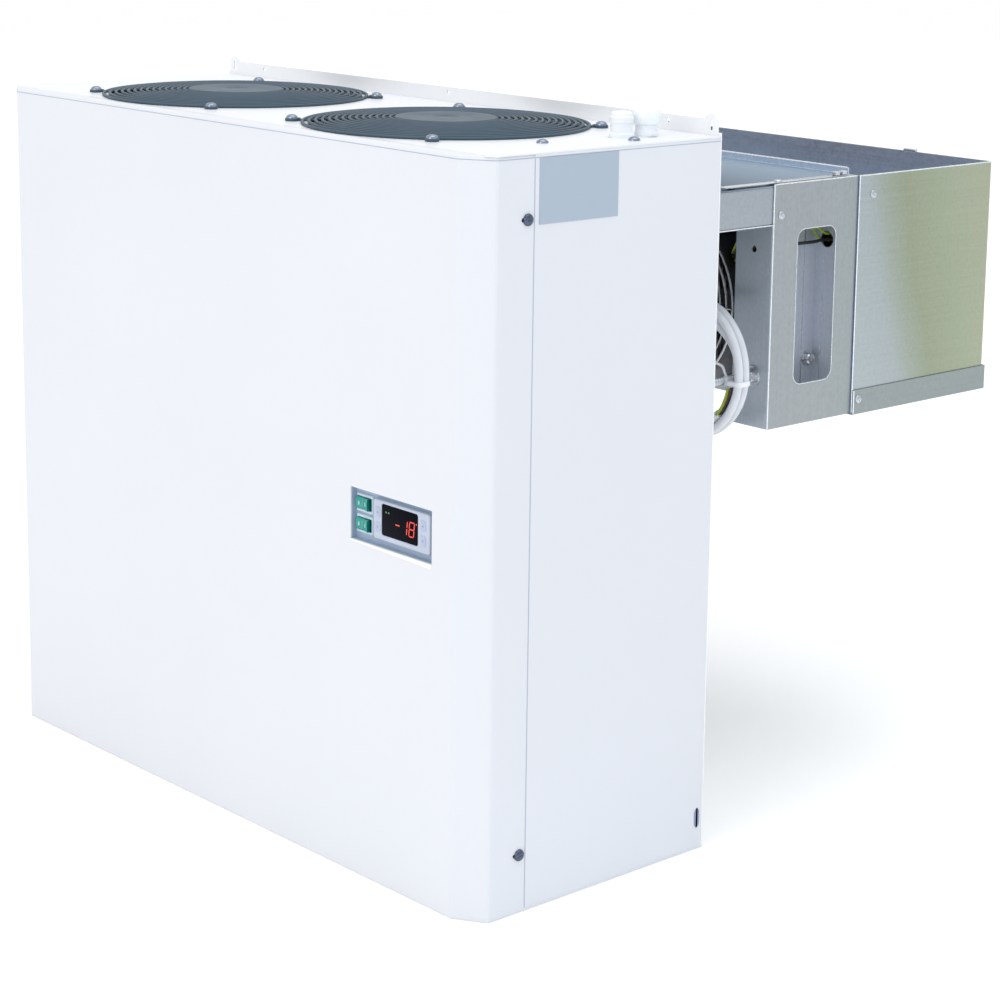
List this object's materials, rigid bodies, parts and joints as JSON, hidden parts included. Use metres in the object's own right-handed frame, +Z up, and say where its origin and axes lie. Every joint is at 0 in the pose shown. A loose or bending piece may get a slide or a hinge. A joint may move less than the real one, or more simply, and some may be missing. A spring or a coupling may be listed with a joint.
{
  "type": "refrigeration unit",
  "caption": "Straddle refrigeration unit: condensing cabinet with fans on top, joined over a wall by a bridge to a hooded evaporator with fans of its own.",
  "frame": {"origin": "centre of the condensing cabinet's flat base", "axes": "+X to the right seen from the controls, +Y from the cabinet back to the evaporator, +Z up"},
  "size_m": [0.7352, 0.6975, 0.67],
  "materials": {
    "white_paint": "smooth gloss white",
    "galvanised": "brushed, lightly reflective",
    "black_paint": "semi-matt black",
    "coil_aluminium": "bare fins",
    "copper": "drawn copper",
    "black_plastic": "moulded black",
    "cap_white": "milky white moulding",
    "insulation": "rigid foam",
    "black_rubber": "matt",
    "zinc": "bright zinc plate",
    "facia_plastic": "fine-grained lavender grey",
    "bezel_paint": "satin grey blue",
    "display_window": "smoked",
    "switch_green": "translucent green",
    "switch_black": "glossy black",
    "plate_grey": "bare blue-grey plate",
    "cord_grey": "light grey sheath",
    "tie_white": "white nylon",
    "core_green": "core sheath",
    "core_black": "lead sheath"
  },
  "bodies": {
    "casing": {"base_tray": "galvanised", "bridge_foam": "insulation", "bridge_lid": "galvanised", "bridge_trough": "galvanised", "cable_caps": "cap_white", "casing_screws": "zinc", "clamp_rods": "zinc", "compressor": "black_paint", "compressor_grommets": "black_rubber", "condenser_coil": "coil_aluminium", "condenser_guard_1": "black_paint", "condenser_guard_2": "black_paint", "condenser_motor_1": "black_paint", "condenser_motor_2": "black_paint", "control_bezel": "bezel_paint", "controller_housing": "facia_plastic", "controller_window": "display_window", "cord_cores": "core_green", "cord_gland": "black_plastic", "cord_ring": "cord_grey", "cord_tie": "tie_white", "discharge_pipe": "copper", "drip_tray": "galvanised", "electrical_box": "black_plastic", "evap_bracket_left": "galvanised", "evap_bracket_right": "galvanised", "evap_fan_frame_1": "black_plastic", "evap_fan_frame_2": "black_plastic", "evap_guard_1": "black_paint", "evap_guard_2": "black_paint", "evaporator_coil": "coil_aluminium", "fan_leads": "core_black", "fan_shroud": "galvanised", "filter_drier": "copper", "front_panel": "white_paint", "hood": "galvanised", "hood_cover": "galvanised", "liquid_pipes": "copper", "liquid_receiver": "black_paint", "partition_panel": "galvanised", "rating_plate": "plate_grey", "rear_panel": "white_paint", "side_panel_left": "white_paint", "side_panel_right": "white_paint", "suction_pipe": "black_rubber", "supply_cord": "cord_grey", "switch_body_1": "switch_black", "switch_body_2": "switch_black", "terminal_cover": "black_plastic", "top_panel": "white_paint"},
    "condenser_fan_1_body": {"condenser_fan_1": "black_paint"},
    "condenser_fan_2_body": {"condenser_fan_2": "black_paint"},
    "evap_fan_rotor_1_body": {"evap_fan_rotor_1": "black_plastic"},
    "evap_fan_rotor_2_body": {"evap_fan_rotor_2": "black_plastic"},
    "switch_rocker_1_body": {"switch_rocker_1": "switch_green"},
    "switch_rocker_2_body": {"switch_rocker_2": "switch_green"},
    "controller_key_1_body": {"controller_key_1": "facia_plastic"},
    "controller_key_2_body": {"controller_key_2": "facia_plastic"},
    "controller_key_3_body": {"controller_key_3": "facia_plastic"},
    "controller_key_4_body": {"controller_key_4": "facia_plastic"}
  },
  "joints": [
    {"name": "condenser_fan_1_spin", "type": "hinge", "parent": "casing", "child": "condenser_fan_1_body", "pos_m": [-0.159, 0, 0.62], "axis": [0, 0, 1], "continuous": true},
    {"name": "condenser_fan_2_spin", "type": "hinge", "parent": "casing", "child": "condenser_fan_2_body", "pos_m": [0.159, 0, 0.62], "axis": [0, 0, 1], "continuous": true},
    {"name": "evap_fan_1_spin", "type": "hinge", "parent": "casing", "child": "evap_fan_rotor_1_body", "pos_m": [-0.155, 0.317, 0.464], "axis": [0, 1, 0], "continuous": true},
    {"name": "evap_fan_2_spin", "type": "hinge", "parent": "casing", "child": "evap_fan_rotor_2_body", "pos_m": [0.155, 0.317, 0.464], "axis": [0, 1, 0], "continuous": true},
    {"name": "switch_1_rock", "type": "hinge", "parent": "casing", "child": "switch_rocker_1_body", "pos_m": [0.2125, -0.131, 0.3365], "axis": [0, 0, 1], "range_deg": [0, 14]},
    {"name": "switch_2_rock", "type": "hinge", "parent": "casing", "child": "switch_rocker_2_body", "pos_m": [0.2125, -0.131, 0.318], "axis": [0, 0, 1], "range_deg": [0, 14]},
    {"name": "key_1_press", "type": "slide", "parent": "casing", "child": "controller_key_1_body", "axis": [0, 1, 0], "range_m": [0, 0.0005], "stiffness_N_per_m": 1200},
    {"name": "key_2_press", "type": "slide", "parent": "casing", "child": "controller_key_2_body", "axis": [0, 1, 0], "range_m": [0, 0.0005], "stiffness_N_per_m": 1200},
    {"name": "key_3_press", "type": "slide", "parent": "casing", "child": "controller_key_3_body", "axis": [0, 1, 0], "range_m": [0, 0.0005], "stiffness_N_per_m": 1200},
    {"name": "key_4_press", "type": "slide", "parent": "casing", "child": "controller_key_4_body", "axis": [0, 1, 0], "range_m": [0, 0.0005], "stiffness_N_per_m": 1200}
  ]
}
